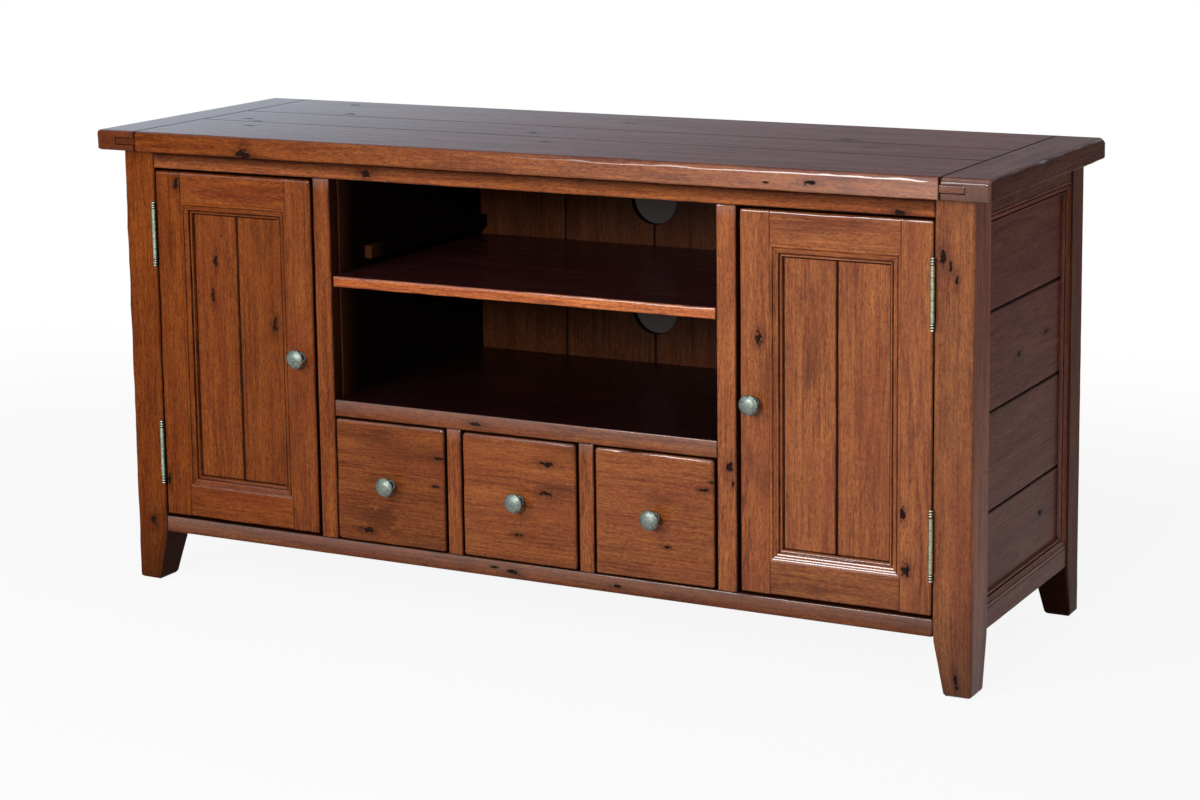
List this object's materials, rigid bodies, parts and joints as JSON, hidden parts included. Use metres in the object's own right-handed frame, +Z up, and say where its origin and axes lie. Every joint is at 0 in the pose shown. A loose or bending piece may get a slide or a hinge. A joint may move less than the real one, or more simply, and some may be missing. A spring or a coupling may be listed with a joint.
{
  "type": "media console",
  "caption": "Low free-standing pine media console with hinged panelled doors, a row of small drawers, and an open niche with a loose shelf and cable holes in its planked back.",
  "frame": {"origin": "on the floor, in the middle of the console's outline", "axes": "+Z up, -Y towards the front with the doors, +X to the right as seen from the front"},
  "size_m": [1.35, 0.45, 0.664],
  "materials": {
    "pine_front": "distressed red-brown pine under a glossy lacquer",
    "pine_top": "dark brown lacquered pine",
    "pine_side": "dark red-brown lacquered pine",
    "pine_inside": "very dark stained pine",
    "pewter": "antique grey-green patina"
  },
  "bodies": {
    "case": {"front_post_left": "pine_front", "front_post_right": "pine_front", "rear_post_left": "pine_front", "rear_post_right": "pine_front", "front_top_rail": "pine_front", "front_bottom_rail": "pine_front", "front_stile_left": "pine_front", "front_stile_right": "pine_front", "drawer_divider_left": "pine_front", "drawer_divider_right": "pine_front", "side_top_rail_left": "pine_side", "side_top_rail_right": "pine_side", "side_bottom_rail_left": "pine_side", "side_bottom_rail_right": "pine_side", "side_panel_left": "pine_side", "side_panel_right": "pine_side", "side_moulding_left": "pine_side", "side_moulding_right": "pine_side", "partition_left": "pine_inside", "partition_right": "pine_inside", "niche_floor": "pine_inside", "cabinet_floor": "pine_inside", "back_panel": "pine_inside", "shelf_cleat_left": "pine_inside", "shelf_cleat_right": "pine_inside", "table_top": "pine_top", "breadboard_end_left": "pine_top", "breadboard_end_right": "pine_top", "left_upper_hinge_post_leaf": "pewter", "left_lower_hinge_post_leaf": "pewter", "right_upper_hinge_post_leaf": "pewter", "right_lower_hinge_post_leaf": "pewter"},
    "left_door": {"left_door_hinge_stile": "pine_front", "left_door_lock_stile": "pine_front", "left_door_top_rail": "pine_front", "left_door_bottom_rail": "pine_front", "left_door_panel": "pine_front", "left_door_moulding": "pine_front", "left_door_knob": "pewter", "left_upper_hinge_door_leaf": "pewter", "left_lower_hinge_door_leaf": "pewter"},
    "right_door": {"right_door_hinge_stile": "pine_front", "right_door_lock_stile": "pine_front", "right_door_top_rail": "pine_front", "right_door_bottom_rail": "pine_front", "right_door_panel": "pine_front", "right_door_moulding": "pine_front", "right_door_knob": "pewter", "right_upper_hinge_door_leaf": "pewter", "right_lower_hinge_door_leaf": "pewter"},
    "left_drawer": {"left_drawer_front": "pine_front", "left_drawer_box": "pine_inside", "left_drawer_knob": "pewter"},
    "middle_drawer": {"middle_drawer_front": "pine_front", "middle_drawer_box": "pine_inside", "middle_drawer_knob": "pewter"},
    "right_drawer": {"right_drawer_front": "pine_front", "right_drawer_box": "pine_inside", "right_drawer_knob": "pewter"},
    "shelf": {"niche_shelf": "pine_inside"}
  },
  "joints": [
    {"name": "left_door_hinge", "type": "hinge", "parent": "case", "child": "left_door", "pos_m": [-0.59195, -0.2043, 0.3545], "axis": [0, 0, -1], "range_deg": [0, 165]},
    {"name": "right_door_hinge", "type": "hinge", "parent": "case", "child": "right_door", "pos_m": [0.59195, -0.2043, 0.3545], "axis": [0, 0, 1], "range_deg": [0, 165]},
    {"name": "left_drawer_slide", "type": "slide", "parent": "case", "child": "left_drawer", "axis": [0, -1, 0], "range_m": [0, 0.28]},
    {"name": "middle_drawer_slide", "type": "slide", "parent": "case", "child": "middle_drawer", "axis": [0, -1, 0], "range_m": [0, 0.28]},
    {"name": "right_drawer_slide", "type": "slide", "parent": "case", "child": "right_drawer", "axis": [0, -1, 0], "range_m": [0, 0.28]},
    {"name": "niche_shelf_slide", "type": "slide", "parent": "case", "child": "shelf", "axis": [0, -1, 0], "range_m": [0, 0.25]}
  ]
}
